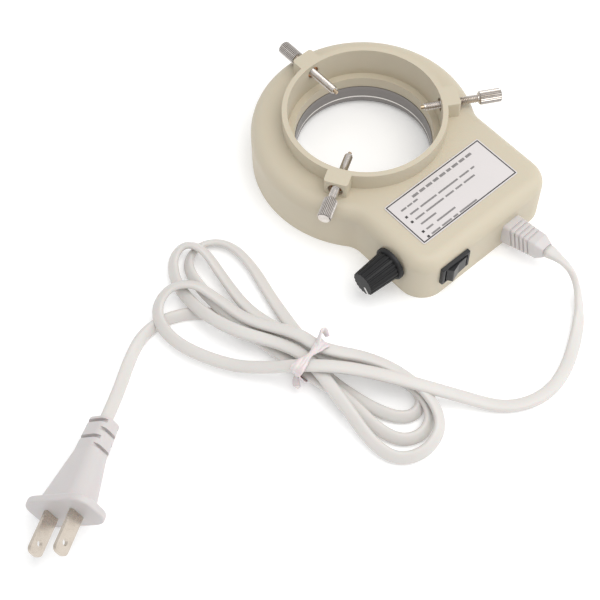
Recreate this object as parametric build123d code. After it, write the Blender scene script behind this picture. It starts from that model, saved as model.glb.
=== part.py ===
from build123d import *
import math
import os

# Microscope ring light with its dimmer tail, mains lead and plug.
# Millimetres. The origin is on the ring's axis, in the plane of the lower rim. +Z is up,
# and the controller tail points along -Y.

# Clearances
fit_gap = 0.15
running_gap = 0.05
loose_gap = 0.3
cut_overrun = 1.0

# Housing
wall = 2.2
ring_radius = 47.4
deck_height = 22.8
edge_round = 6.0
tail_left = -34.5
tail_right = 39.4
tail_end = -71.3
tail_corner = 11.0
junction_blend = 9.0

# Collar that goes round the microscope's objective barrel
collar_bore = 32.0
collar_wall = 2.2
ledge_height = 16.6
ledge_thickness = 2.0
throat_radius = 29.1
throat_wall = 2.2
throat_bottom = 11.3

# Bosses and inserts for the clamp screws
screw_angles = {"back": 90, "left": 210, "right": 330}
boss_width = 10.0
boss_reach = 39.6
boss_round = 1.2
screw_drop = 4.6
counterbore_radius = 3.2
counterbore_depth = 2.0
insert_radius = 2.8
insert_setback = 0.6

# Clamp screws
screw_radius = 1.75
screw_pitch = 0.7
thread_depth = 0.3
shank_length = 23.4
nose_radius = 0.8
nose_length = 1.5
nose_pin_radius = 0.45
nose_pin_length = 2.0
head_radius = 2.9
head_length = 9.5
head_clearance = 0.5
head_chamfer = 0.5
knurl_count = 24
knurl_depth = 0.28
tip_radius = {"back": 16.9, "left": 19.7, "right": 23.7}

# Metal bore liner
liner_radius = 28.8
liner_wall = 1.5
liner_flange_radius = 32.2
liner_flange_thickness = 1.6
liner_lift = 0.4
liner_flare = 1.4
liner_flare_height = 2.6

# Underside: cover, window and light board
cover_thickness = 2.0
window_opening = 41.6
window_radius = 43.0
window_thickness = 1.4
led_board_thickness = 1.6
led_board_radius = 43.0
led_ring_radii = (33.8, 39.8)
leds_per_ring = 30
led_radius = 2.4
led_barrel = 2.4
post_radius = 2.6
led_post_radius = 36.8
led_post_angles = (30, 150, 270)

# Driver board in the tail
driver_left = -23.0
driver_right = 30.0
driver_front = -57.6
driver_back = -44.6
driver_height = 3.6
driver_thickness = 1.6
driver_screw_inset = 3.0
driver_left_screw = 6.5
transformer_size = (10.8, 11.0, 11.0)
transformer_core = 5.0
transformer_x = 7.4
capacitor_radii = (4.0, 3.0)
capacitor_height = 11.5
capacitor_x = (-7.6, 17.4)
rectifier_size = (4.7, 3.8, 2.5)
chip_size = (5.0, 4.0, 1.6)
chip_x = -0.7
chip_row = 3.2
fuse_radius = 1.6
fuse_length = 8.0
fuse_cap_length = 1.6
fuse_cap_radius = 1.8
fuse_x = 22.4

# Small screws
small_screw_radius = 1.1
small_head_radius = 1.9
small_head_height = 1.3
small_screw_depth = 6.0
cover_screw_radius = 1.4
cover_head_radius = 2.5
cover_head_height = 1.2
cover_screw_depth = 9.0
cover_post_radius = 3.2
cover_posts = ((-28.0, -63.2), (32.2, -63.2), (-28.2, -39.4), (34.4, -36.4))

# Dimmer: potentiometer, shaft and knob on the left wall
dimmer_y = -54.3
dimmer_height = 14.2
dimmer_body = (7.4, 11.0, 10.0)
dimmer_body_drop = 1.6
bushing_radius = 3.6
bushing_length = 4.8
dimmer_shaft_radius = 3.0
shaft_inner = 3.0
washer_radius = 5.2
washer_thickness = 0.4
nut_across_flats = 10.0
nut_corner_radius = 5.3
nut_thickness = 1.6
knob_gap = 0.9
knob_skirt_radius = 7.2
knob_skirt_thickness = 1.8
knob_recess_radius = 5.6
knob_recess_depth = 2.1
knob_root_radius = 6.2
knob_tip_radius = 5.2
knob_length = 15.2
knob_flutes = 18
flute_radius = 0.55
knob_bore_depth = 11.0
pointer_angle = -140.0
pointer_width = 1.1
pointer_depth = 0.8
pointer_inner = 1.6

# Rocker switch on the tail's end wall
switch_x = -17.5
switch_height = 13.4
bezel_length = 15.0
bezel_height = 10.0
bezel_proud = 1.6
bezel_round = 0.6
switch_body_length = 13.2
switch_body_height = 8.8
switch_depth = 12.0
switch_well_length = 12.2
switch_well_height = 7.9
switch_well_depth = 6.6
rocker_height = 7.4
rocker_crown = 4.4
rocker_shoulder = 5.5
rocker_crown_rise = 1.3
rocker_valley_rise = 0.8
rocker_shoulder_drop = 1.2
rocker_foot = 3.8
rocker_foot_drop = 4.4
rocker_pivot_drop = 2.6
rocker_pin_radius = 0.8
rocker_tilt = 10.5
terminal_size = (0.8, 5.0, 4.4)
terminal_offsets = (-4.6, 4.6)

# Strain relief where the lead goes through the tail's end wall
relief_x = 15.0
relief_height = 7.95
relief_lean = 13.0
relief_yaw = 3.0
relief_neck = (6.6, 8.4)
relief_flange = (10.4, 11.0)
relief_flange_thickness = 2.0
relief_root = (9.2, 11.3)
relief_tip = (7.8, 8.4)
relief_body_length = 16.4
relief_cone_length = 3.4
relief_cone_end = (5.6, 4.6)
relief_corner = 1.1
relief_grooves = 5
groove_width = 0.9
groove_depth = 0.6
groove_start = 4.2
groove_step = 2.1
lead_tail_length = 7.0
lead_wire_spread = 1.1
lead_wire_back = 1.9

# Label
label_size = (52.6, 23.2)
label_centre = (2.1, -49.1)
label_thickness = 0.3
label_corner = 0.8

# Wires inside the tail
wire_radius = 0.6
wire_bend = 1.8
switch_wire_turns = (3, 2)
led_wire_x = (-10.0, -6.4)
dimmer_wire_drop = 4.6
dimmer_wire_step = 2.4
dimmer_wire_run = 4.1

# Lead, laid on the table from the strain relief to the hank and from the hank to the plug
cord_radius = 2.2
cord_rest = 0.1
corner_share = 0.45
lead_route = (
    (16.3, -96.4, 13.4), (17.6, -101.6, 10.6), (17.0, -106.4, 6.8), (14.2, -111.0, 3.8),
    (8.4, -117.2, 2.3), (-1.0, -123.6, 2.3), (-11.5, -129.2, 2.3), (-22.5, -132.2, 2.3),
    (-33.5, -130.8, 2.3), (-43.5, -124.6, 2.3), (-52.0, -114.0, 7.3), (-60.0, -101.5, 13.5),
    (-67.5, -90.5, 15.3), (-75.0, -79.5, 17.6))
plug_route = (
    (-89.5, -36.5, 2.3), (-95.0, -25.5, 2.3), (-103.5, -14.5, 2.3), (-115.5, -8.5, 2.3),
    (-127.0, -9.0, 2.3), (-137.5, -15.2, 3.2), (-146.6, -22.6, 5.9), (-154.96, -28.82, 8.43))

# Hank: three turns drawn in at the waist. Each lobe has a heading, reach, half width and bend.
hank_gap = 0.5
hank_waist = (-86.0, -60.0)
hank_heading = 97.0
waist_run = 12.0
lobe_reach_power = 0.9
lobe_width_power = 0.8
hank_lobes = (
    (146.0, 58.0, 15.0, -33.0), (-79.0, 61.0, 18.5, -0.5), (115.0, 73.0, 12.5, -22.0),
    (-78.5, 55.5, 12.8, -0.5), (103.0, 69.0, 14.0, -17.0), (-78.0, 48.0, 8.5, 4.0))
lobe_layer_shares = (
    (1.33, 0.33, 0.83, 1.89, 2.1, 1.48, 1.61), (2.17, 1.18, 0, 0, 0, 0.4, 1.59),
    (1.83, 0.71, 0.28, 0.97, 1.11, 0.38, 0.55), (1.11, 1.03, 0.64, 0, 0, 0.07, 0.74),
    (0.96, 1.03, 0, 0, 0, 0, 0), (0, 0, 0, 0, 0, 0, 0))
waist_column_shares = (-0.5, 0.5, -0.5, 0.5, -1, 1, 0)
waist_layer_shares = (
    (3.33, 2.94), (2.54, 2.65), (2.04, 1.75), (1.46, 1.59), (0.86, 0.51), (0.56, 0.6), (0.28, 0.28))

# Twist tie round the hank's waist
tie_gap = 0.3
tie_width = 2.6
tie_thickness = 0.8
tie_end_length = 14.0
tie_end_headings = (22.6, 213.0)
tie_end_droop = 8.0

# Mains plug with two flat blades
plug_face = (-194.8, -54.2, 13.4)
plug_heading = 212.5
plug_pitch = 6.0
plug_roll = 34.0
flange_size = (31.6, 17.4)
flange_corner = 6.5
flange_thickness = 3.0
plug_base = (20.5, 14.6)
plug_waist = (11.6, 10.0)
plug_body_length = 22.0
plug_relief_end = (10.8, 9.2)
plug_relief_length = 14.5
plug_relief_slots = 4
plug_slot_width = 1.5
plug_slot_depth = 1.7
blade_spacing = 12.7
blade_width = 6.35
blade_thickness = 1.5
blade_length = 16.5
blade_root = 6.0
blade_nose = 2.2
blade_hole_radius = 1.2
blade_hole_place = 11.9

inner_radius = ring_radius - wall
ceiling = deck_height - wall
collar_radius = collar_bore + collar_wall
screw_height = deck_height + head_radius + head_clearance
collar_height = screw_height + screw_drop
liner_outer = liner_radius + liner_wall
led_board_top = throat_bottom
led_board_bottom = led_board_top - led_board_thickness
driver_top = driver_height + driver_thickness
driver_middle = (driver_front + driver_back) / 2
cord_height = cord_radius + cord_rest
hank_pitch = 2 * cord_radius + hank_gap


def save(shape, name):
    shape.label = name
    export_step(shape, f"parts/{name}.step")


def box_between(low, high):
    size = [h - l for l, h in zip(low, high)]
    middle = [(h + l) / 2 for l, h in zip(low, high)]
    return Pos(*middle) * Box(*size)


def tube(outer, inner, low, high):
    ring = Circle(outer) - Circle(inner)
    return Pos(0, 0, low) * extrude(ring, high - low)


def disc(radius, low, high):
    return Pos(0, 0, low) * extrude(Circle(radius), high - low)


def joined(solids):
    return Compound(children=list(solids))


def polar(radius, angle):
    return radius * math.cos(math.radians(angle)), radius * math.sin(math.radians(angle))


# Housing

def plan(inset):
    ring = Circle(ring_radius - inset)
    width = tail_right - tail_left - 2 * inset
    length = -tail_end - inset
    tail = Pos((tail_left + tail_right) / 2, -length / 2) * Rectangle(width, length)
    shape = ring + tail
    corners = [v for v in shape.vertices() if v.Y < tail_end + inset + cut_overrun]
    shape = fillet(corners, tail_corner - inset)
    crotch = [v for v in shape.vertices() if math.hypot(v.X, v.Y) < ring_radius - inset + fit_gap]
    crotch = [v for v in crotch if v.Y < 0]
    return fillet(crotch, junction_blend + inset)


def block(inset, height, rounding):
    solid = extrude(plan(inset), height)
    return fillet(solid.faces().sort_by(Axis.Z)[-1].outer_wire().edges(), rounding)


def boss(angle):
    solid = box_between((collar_bore + fit_gap, -boss_width / 2, deck_height - wall),
                        (boss_reach, boss_width / 2, collar_height))
    outer = solid.faces().sort_by(Axis.X)[-1].edges().filter_by(Axis.Z)
    return Rot(0, 0, angle) * fillet(outer, boss_round)


def insert_hole(angle):
    through = extrude(Circle(insert_radius), boss_reach)
    sink_start = boss_reach - counterbore_depth
    sink = Pos(0, 0, sink_start) * extrude(Circle(counterbore_radius), counterbore_depth + cut_overrun)
    return Rot(0, 0, angle) * Pos(0, 0, screw_height) * Rot(0, 90, 0) * (through + sink)


def ceiling_post(x, y, radius, bottom, screw):
    solid = disc(radius, bottom, ceiling + fit_gap)
    hole = disc(screw, bottom - cut_overrun, bottom + cover_screw_depth)
    return Pos(x, y) * solid, Pos(x, y) * hole


def driver_corners():
    right = driver_right - driver_screw_inset
    back = driver_back - driver_screw_inset
    return ((driver_left + driver_left_screw, back), (right, driver_front + driver_screw_inset), (right, back))


def post_table():
    rows = [(x, y, cover_post_radius, cover_thickness, cover_screw_radius) for x, y in cover_posts]
    rows += [(x, y, post_radius, driver_top, small_screw_radius) for x, y in driver_corners()]
    for angle in led_post_angles:
        x, y = polar(led_post_radius, angle)
        rows.append((x, y, post_radius, led_board_top, small_screw_radius))
    return rows


def rounded_block(size, depth):
    return extrude(RectangleRounded(*size, relief_corner), depth)


def wall_tool(x, height, shape):
    return Pos(x, tail_end, height) * Rot(90, 0, 0) * shape


def upper_housing():
    shell = block(0, deck_height, edge_round)
    hollow = block(wall, ceiling, edge_round - wall)
    shell -= hollow
    shell += disc(collar_radius, ledge_height - ledge_thickness, collar_height)
    shell += disc(throat_radius + throat_wall, throat_bottom, ledge_height)
    for angle in screw_angles.values():
        shell += boss(angle)
    posts = [ceiling_post(*row) for row in post_table()]
    for solid, _ in posts:
        shell += solid
    shell -= disc(collar_bore, ledge_height, collar_height + cut_overrun)
    shell -= disc(throat_radius, throat_bottom - cut_overrun, collar_height)
    for angle in screw_angles.values():
        shell -= insert_hole(angle)
    for _, hole in posts:
        shell -= hole
    bushing = Rot(0, -90, 0) * extrude(Circle(bushing_radius + fit_gap), 2 * wall, both=True)
    shell -= Pos(tail_left, dimmer_y, dimmer_height) * bushing
    cutout = Box(switch_body_length + fit_gap, switch_body_height + fit_gap, 4 * wall)
    shell -= wall_tool(switch_x, switch_height, cutout)
    neck_hole = [size + fit_gap for size in relief_neck]
    shell -= wall_tool(relief_x, relief_height, Pos(0, 0, -2 * wall) * rounded_block(neck_hole, 4 * wall))
    return shell


def base_cover():
    solid = extrude(plan(wall + fit_gap), cover_thickness)
    solid -= disc(window_opening, -cut_overrun, cover_thickness + cut_overrun)
    for x, y in cover_posts:
        shaft = Pos(x, y, -cut_overrun) * extrude(Circle(cover_screw_radius + fit_gap), cover_thickness * 2)
        sink = Pos(x, y, -cut_overrun) * extrude(Circle(cover_head_radius + fit_gap),
                                                 cut_overrun + cover_head_height)
        solid -= shaft + sink
    return solid


def bore_liner():
    barrel = tube(liner_outer, liner_radius, liner_lift, throat_bottom)
    flange = tube(liner_flange_radius, liner_radius, liner_lift, liner_lift + liner_flange_thickness)
    flare = Cone(liner_radius + liner_flare, liner_radius, liner_flare_height)
    return barrel + flange - Pos(0, 0, liner_lift + liner_flare_height / 2) * flare


def window_ring():
    return tube(window_radius, liner_outer + fit_gap, cover_thickness, cover_thickness + window_thickness)


def led_places():
    step = 360 / leds_per_ring
    for radius in led_ring_radii:
        for index in range(leds_per_ring):
            yield polar(radius, index * step)


def led_board():
    solid = tube(led_board_radius, liner_outer + fit_gap, led_board_bottom, led_board_top)
    for angle in led_post_angles:
        x, y = polar(led_post_radius, angle)
        solid -= Pos(x, y) * disc(small_screw_radius + fit_gap, led_board_bottom - wall, led_board_top + wall)
    return solid


def leds():
    barrel = Pos(0, 0, led_board_bottom - led_barrel) * Cylinder(
        led_radius, led_barrel, align=(Align.CENTER, Align.CENTER, Align.MIN))
    dome = Pos(0, 0, led_board_bottom - led_barrel) * Sphere(led_radius)
    lamp = barrel + (dome - disc(2 * led_radius, led_board_bottom - led_barrel, led_board_top))
    return joined(Pos(x, y) * lamp for x, y in led_places())


def small_screw(x, y, seat):
    head = disc(small_head_radius, seat - small_head_height, seat)
    head = fillet(head.faces().sort_by(Axis.Z)[0].edges(), small_head_height / 3)
    shank = disc(small_screw_radius, seat, seat + small_screw_depth)
    slot = Pos(0, 0, seat - small_head_height) * Box(2 * small_head_radius, small_head_radius / 4,
                                                     small_head_height * 0.8)
    return Pos(x, y) * (head + shank - slot)


def board_screws():
    places = [(x, y, driver_height) for x, y in driver_corners()]
    for angle in led_post_angles:
        places.append((*polar(led_post_radius, angle), led_board_bottom))
    return joined(small_screw(*place) for place in places)


def base_screws():
    screws = []
    for x, y in cover_posts:
        head = disc(cover_head_radius, 0, cover_head_height)
        shank = disc(cover_screw_radius, cover_head_height, cover_screw_depth)
        slot = Box(cover_head_radius, cover_head_radius / 5, cover_head_height)
        cross = slot + Rot(0, 0, 90) * slot
        screws.append(Pos(x, y) * (head + shank - cross))
    return joined(screws)


# Driver board and what stands on it

def driver_board():
    solid = box_between((driver_left, driver_front, driver_height), (driver_right, driver_back, driver_top))
    for x, y in driver_corners():
        solid -= Pos(x, y) * disc(small_screw_radius + fit_gap, 0, deck_height)
    return solid


def on_board(x, y, size):
    return box_between((x - size[0] / 2, y - size[1] / 2, driver_top),
                       (x + size[0] / 2, y + size[1] / 2, driver_top + size[2]))


def transformer():
    width, depth, height = transformer_size
    bobbin = on_board(transformer_x, driver_middle, (width * 0.72, depth, height * 0.86))
    core = on_board(transformer_x, driver_middle, (width, transformer_core, height))
    return bobbin + core


def capacitors():
    cans = []
    for x, radius in zip(capacitor_x, capacitor_radii):
        can = Pos(x, driver_middle) * disc(radius, driver_top, driver_top + capacitor_height)
        cans.append(fillet(can.faces().sort_by(Axis.Z)[-1].edges(), radius / 8))
    return joined(cans)


def rectifier():
    return on_board(chip_x, driver_middle - chip_row, rectifier_size)


def driver_chip():
    return on_board(chip_x, driver_middle + chip_row, chip_size)


def fuse():
    middle = Pos(fuse_x, driver_back - fuse_length / 2, driver_top + fuse_cap_radius) * Rot(90, 0, 0)
    glass = Cylinder(fuse_radius, fuse_length)
    cap_place = (fuse_length - fuse_cap_length) / 2
    caps = Pos(0, 0, cap_place) * Cylinder(fuse_cap_radius, fuse_cap_length)
    caps += Pos(0, 0, -cap_place) * Cylinder(fuse_cap_radius, fuse_cap_length)
    return middle * (glass + caps)


# Dimmer, built along its shaft: local +Z runs out of the left wall

def dimmer_place(shape):
    return Pos(tail_left, dimmer_y, dimmer_height) * Rot(0, -90, 0) * shape


def dimmer_potentiometer():
    depth, width, height = dimmer_body
    case = Pos(-dimmer_body_drop, 0, -wall - fit_gap - depth / 2) * Box(height, width, depth)
    bushing = disc(bushing_radius, -wall - fit_gap, bushing_length - wall)
    solid = case + bushing
    solid -= disc(dimmer_shaft_radius + running_gap, -wall - shaft_inner, bushing_length)
    return dimmer_place(solid)


def dimmer_washer():
    return dimmer_place(tube(washer_radius, bushing_radius + fit_gap, fit_gap, fit_gap + washer_thickness))


def dimmer_nut():
    low = fit_gap + washer_thickness
    hexagon = RegularPolygon(nut_across_flats / 2, 6, major_radius=False) & Circle(nut_corner_radius)
    solid = Pos(0, 0, low) * extrude(hexagon, nut_thickness)
    return dimmer_place(solid - disc(bushing_radius, 0, knob_length))


def shaft_solid():
    top = knob_gap + knob_bore_depth
    shaft = disc(dimmer_shaft_radius, -wall - shaft_inner + running_gap, top)
    flat = box_between((-dimmer_shaft_radius, dimmer_shaft_radius / 2, bushing_length),
                       (dimmer_shaft_radius, 2 * dimmer_shaft_radius, top + cut_overrun))
    return shaft - flat


def knob_top():
    return knob_gap + knob_length


def pointer_solid():
    low = knob_gap + knob_length / 2
    reach = knob_tip_radius + knob_root_radius
    bar = box_between((pointer_inner, -pointer_width / 2, low), (reach, pointer_width / 2, knob_top()))
    body = knob_body(0) - knob_body(pointer_depth)
    return Rot(0, 0, pointer_angle) * (bar & body)


def knob_body(inset):
    low = knob_gap + knob_skirt_thickness
    base = Pos(0, 0, low) * Circle(knob_root_radius - inset)
    top = Pos(0, 0, knob_top() - inset) * Circle(knob_tip_radius - inset)
    return loft([base.face(), top.face()])


def dimmer_knob():
    low = knob_gap + knob_skirt_thickness
    skirt = disc(knob_skirt_radius, knob_gap, low)
    skirt = chamfer(skirt.faces().sort_by(Axis.Z)[-1].edges(), knob_skirt_thickness / 3)
    body = knob_body(0)
    body = fillet(body.faces().sort_by(Axis.Z)[-1].edges(), flute_radius / 2)
    lean = math.degrees(math.atan2(knob_root_radius - knob_tip_radius, knob_length - knob_skirt_thickness))
    for index in range(knob_flutes):
        flute = Cylinder(flute_radius, 2 * knob_length)
        flute = Pos((knob_root_radius + knob_tip_radius) / 2, 0, (low + knob_top()) / 2) * Rot(0, -lean, 0) * flute
        flute -= disc(2 * knob_root_radius, -2 * knob_length, low + fit_gap)
        body -= Rot(0, 0, (index + 0.5) * 360 / knob_flutes) * flute
    solid = body + skirt
    solid -= disc(knob_recess_radius, 0, knob_gap + knob_recess_depth)
    solid -= shaft_solid()
    return dimmer_place(solid - pointer_solid())


# Rocker switch, built with local +Z running out of the end wall

def switch_place(shape):
    return Pos(switch_x, tail_end, switch_height) * Rot(90, 0, 0) * shape


def switch_body():
    bezel = extrude(RectangleRounded(bezel_length, bezel_height, bezel_round), bezel_proud)
    bezel = chamfer(bezel.faces().sort_by(Axis.Z)[-1].outer_wire().edges(), bezel_round / 2)
    case = Pos(0, 0, (bezel_round - switch_depth) / 2) * Box(switch_body_length, switch_body_height,
                                                            switch_depth + bezel_round)
    well = box_between((-switch_well_length / 2, -switch_well_height / 2, bezel_proud - switch_well_depth),
                       (switch_well_length / 2, switch_well_height / 2, bezel_proud + cut_overrun))
    pin = Pos(0, 0, bezel_proud - rocker_pivot_drop) * Rot(90, 0, 0) * Cylinder(
        rocker_pin_radius + running_gap, switch_body_height - 2 * fit_gap)
    return switch_place(bezel + case - well - pin)


def switch_rocker():
    profile = Polyline((-rocker_foot, -rocker_foot_drop), (-rocker_shoulder, -rocker_shoulder_drop),
                       (-rocker_crown, rocker_crown_rise), (0, rocker_valley_rise),
                       (rocker_crown, rocker_crown_rise), (rocker_shoulder, -rocker_shoulder_drop),
                       (rocker_foot, -rocker_foot_drop), close=True)
    solid = extrude(make_face(profile), rocker_height / 2, both=True)
    crown = solid.edges().filter_by(Axis.Z).group_by(Axis.Y)[-1]
    solid = fillet(crown, rocker_crown_rise / 4)
    pin = Pos(0, -rocker_pivot_drop, 0) * Cylinder(rocker_pin_radius, switch_body_height - 4 * fit_gap)
    solid += pin
    turned = Pos(0, -rocker_pivot_drop, 0) * Rot(0, 0, -rocker_tilt) * Pos(0, rocker_pivot_drop, 0) * solid
    return switch_place(Pos(0, 0, bezel_proud) * Rot(90, 0, 0) * turned)


def switch_terminals():
    width, length, height = terminal_size
    tabs = []
    for offset in terminal_offsets:
        tab = box_between((offset - width / 2, -height / 2, -switch_depth - length),
                          (offset + width / 2, height / 2, -switch_depth))
        tabs.append(switch_place(tab))
    return joined(tabs)


# Label

def label_plate():
    sheet = extrude(RectangleRounded(*label_size, label_corner), label_thickness)
    return Pos(*label_centre, deck_height) * sheet


# Clamp screws, each built with its tip at the local origin and its head along +Z

def screw_place(name, shape):
    return Rot(0, 0, screw_angles[name]) * Pos(tip_radius[name], 0, screw_height) * Rot(0, 90, 0) * shape


def collar_inserts():
    start = collar_bore + insert_setback
    end = boss_reach - counterbore_depth
    sleeve = Pos(0, 0, screw_height) * Rot(0, 90, 0) * tube(insert_radius, screw_radius + running_gap, start, end)
    return joined(Rot(0, 0, angle) * sleeve for angle in screw_angles.values())


def screw_nose(name):
    tip = disc(nose_radius, 0, nose_length)
    tip = chamfer(tip.faces().sort_by(Axis.Z)[0].edges(), nose_radius / 4)
    pin = disc(nose_pin_radius, nose_length, nose_length + nose_pin_length)
    return screw_place(name, tip + pin)


def thread_profile(start, length):
    count = int(length / screw_pitch) - 1
    points = [(0, start), (screw_radius - thread_depth, start)]
    for index in range(count):
        low = start + (index + 0.5) * screw_pitch
        points += [(screw_radius - thread_depth, low), (screw_radius, low + screw_pitch / 2)]
    points += [(screw_radius - thread_depth, low + screw_pitch)]
    points += [(screw_radius - thread_depth, start + length), (0, start + length)]
    return points


def clamp_screw(name):
    start = nose_length + fit_gap / 3
    profile = make_face(Polyline([(x, 0, z) for x, z in thread_profile(start, shank_length)], close=True))
    shank = revolve(profile, Axis.Z)
    shank -= disc(nose_pin_radius + running_gap, 0, nose_length + nose_pin_length + running_gap)
    low = nose_length + shank_length
    tooth = 360 / knurl_count
    outline = []
    for index in range(knurl_count):
        outline.append(polar(head_radius, index * tooth))
        outline.append(polar(head_radius - knurl_depth, (index + 0.5) * tooth))
    head = Pos(0, 0, low) * extrude(make_face(Polyline(outline, close=True)), head_length)
    envelope = disc(head_radius, low, low + head_length)
    envelope = chamfer(envelope.edges().filter_by(GeomType.CIRCLE), head_chamfer)
    return screw_place(name, shank + (head & envelope))


# Wires inside the tail

def wire(points):
    path = FilletPolyline(*points, radius=wire_bend)
    return sweep(Plane(path @ 0, z_dir=path % 0) * Circle(wire_radius), path)


def mains_wires():
    runs = []
    for side in (-1, 1):
        x = relief_x + side * lead_wire_spread
        y = tail_end + wall + relief_flange_thickness + lead_tail_length
        turn = driver_front + lead_wire_back
        runs.append(wire([(x, y, relief_height), (x, turn, relief_height), (x, turn, driver_top)]))
    for offset, turns in zip(terminal_offsets, switch_wire_turns):
        x = switch_x + offset
        y = tail_end + switch_depth + terminal_size[1]
        turn = y + turns * wire_bend
        runs.append(wire([(x, y, switch_height), (x, turn, switch_height), (x, turn, driver_top)]))
    return joined(runs)


def led_wires():
    runs = []
    for x in led_wire_x:
        rise = led_board_top + 2 * wire_bend
        far = -led_board_radius + 2 * wire_bend
        runs.append(wire([(x, driver_back - 2 * wire_radius, driver_top), (x, driver_back - 2 * wire_radius, rise),
                          (x, far, rise), (x, far, led_board_top)]))
    return joined(runs)


def dimmer_wires():
    runs = []
    start = tail_left + wall + fit_gap + dimmer_body[0]
    height = dimmer_height - dimmer_wire_drop
    for side in (-1, 0, 1):
        y = dimmer_y + wire_radius + side * dimmer_wire_step
        x = start + dimmer_wire_run
        runs.append(wire([(start, y, height), (x, y, height), (x, y, driver_top)]))
    return joined(runs)


# Strain relief: a flange inside the wall, a neck in the wall's opening and a ribbed grip outside

def relief_frame():
    return Pos(relief_x, tail_end, relief_height) * Rot(0, 0, relief_yaw) * Rot(90 - relief_lean, 0, 0)


def relief_section(place):
    share = place / relief_body_length
    return [root + (tip - root) * share for root, tip in zip(relief_root, relief_tip)]


def strain_relief():
    neck = rounded_block(relief_neck, wall)
    flange = extrude(Rectangle(*relief_flange), relief_flange_thickness)
    inner = Pos(0, 0, -wall) * neck + Pos(0, 0, -wall - relief_flange_thickness) * flange
    root = wall_tool(relief_x, relief_height, RectangleRounded(*relief_root, relief_corner))
    tip = relief_frame() * Pos(0, 0, relief_body_length) * RectangleRounded(*relief_tip, relief_corner)
    end = relief_frame() * Pos(0, 0, relief_body_length + relief_cone_length)
    end *= RectangleRounded(*relief_cone_end, relief_corner)
    grip = loft([root.face(), tip.face()])
    for index in range(relief_grooves):
        place = groove_start + index * groove_step
        width, height = relief_section(place)
        ring = Rectangle(2 * width, 2 * height) - RectangleRounded(width - 2 * groove_depth,
                                                                   height - 2 * groove_depth, relief_corner / 2)
        grip -= relief_frame() * Pos(0, 0, place) * extrude(ring, groove_width)
    return wall_tool(relief_x, relief_height, inner) + grip + loft([tip.face(), end.face()])


def lead_tail():
    start = tail_end + wall + relief_flange_thickness
    return Pos(relief_x, start, relief_height) * Rot(-90, 0, 0) * disc(cord_radius, 0, lead_tail_length)


def cord_exit():
    out = relief_frame() * Pos(0, 0, relief_body_length + relief_cone_length)
    return out.position


# Mains plug, local +Z runs out of the face and local X joins the two blades

def plug_plane():
    heading, pitch, roll = (math.radians(v) for v in (plug_heading, plug_pitch, plug_roll))
    out = Vector(math.cos(heading) * math.cos(pitch), math.sin(heading) * math.cos(pitch), math.sin(pitch))
    level = Vector(-math.sin(heading), math.cos(heading), 0)
    upright = out.cross(level)
    across = level * math.cos(roll) + upright * math.sin(roll)
    return Plane(origin=plug_face, x_dir=across, z_dir=out)


def mains_plug():
    flange = Pos(0, 0, -flange_thickness) * extrude(RectangleRounded(*flange_size, flange_corner), flange_thickness)
    flange = fillet(flange.faces().sort_by(Axis.Z)[-1].edges() + flange.faces().sort_by(Axis.Z)[0].edges(),
                    flange_thickness / 4)
    low = -flange_thickness - plug_body_length
    base = Pos(0, 0, -flange_thickness + fit_gap) * RectangleRounded(*plug_base, plug_base[1] / 3)
    waist = Pos(0, 0, low) * RectangleRounded(*plug_waist, plug_waist[1] / 3)
    end = Pos(0, 0, low - plug_relief_length) * RectangleRounded(*plug_relief_end, plug_relief_end[1] / 3)
    body = loft([waist.face(), base.face()])
    relief = loft([end.face(), waist.face()])
    step = plug_relief_length / plug_relief_slots
    for index in range(plug_relief_slots):
        across = index % 2
        share = (index + 0.5) / plug_relief_slots
        width = plug_waist[across] + (plug_relief_end[across] - plug_waist[across]) * share
        for side in (-1, 1):
            slot = Box(plug_waist[0] * 2, plug_slot_depth * 2, plug_slot_width)
            slot = Pos(0, side * width / 2, low - (index + 0.5) * step) * slot
            relief -= slot if across else Rot(0, 0, 90) * slot
    return plug_plane() * (flange + body + relief - blade_tools())


def blade(hole):
    outline = Rectangle(blade_width, blade_length + blade_root)
    solid = extrude(Pos(0, (blade_length - blade_root) / 2) * outline, blade_thickness / 2, both=True)
    nose = solid.edges().filter_by(Axis.Z).group_by(Axis.Y)[-1]
    solid = fillet(nose, blade_nose)
    if hole:
        solid -= Pos(0, blade_hole_place) * Cylinder(blade_hole_radius, 2 * blade_thickness)
    return solid


def both_blades(hole):
    turned = Rot(0, 0, 90) * Rot(90, 0, 0) * blade(hole)
    return [Pos(side * blade_spacing / 2) * turned for side in (-1, 1)]


def blade_tools():
    first, second = both_blades(False)
    return first + second


def plug_blades():
    return joined(plug_plane() * shape for shape in both_blades(True))


def plug_cord_entry():
    plane = plug_plane()
    return plane.origin - plane.z_dir * (flange_thickness + plug_body_length + plug_relief_length)


# Lead and hank

def lobe_points(lobe, layers):
    heading, reach, half_width, bend = lobe
    for step, layer in enumerate(layers, 1):
        turn = step / (len(layers) + 1)
        out = math.sin(math.pi * turn) ** lobe_reach_power
        swing = math.sin(2 * math.pi * turn)
        side = half_width * math.copysign(abs(swing) ** lobe_width_power, swing)
        x, y = polar(reach * out, heading + bend * out)
        dx, dy = polar(side, heading + 2 * bend * out + 90)
        yield hank_waist[0] + x + dx, hank_waist[1] + y + dy, cord_height + layer * hank_pitch


def waist_points(index):
    x, y = polar(waist_column_shares[index] * hank_pitch, hank_heading - 90)
    half = waist_run / 2 if index % 2 == 0 else -waist_run / 2
    for run, layer in zip((-half, half), waist_layer_shares[index]):
        dx, dy = polar(run, hank_heading)
        yield hank_waist[0] + x + dx, hank_waist[1] + y + dy, cord_height + layer * hank_pitch


def hank_points():
    points = list(waist_points(0))
    for index, (lobe, layers) in enumerate(zip(hank_lobes, lobe_layer_shares), 1):
        points += lobe_points(lobe, layers)
        points += waist_points(index)
    return points


def between(first, second):
    return tuple((a + b) / 2 for a, b in zip(first, second))


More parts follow.
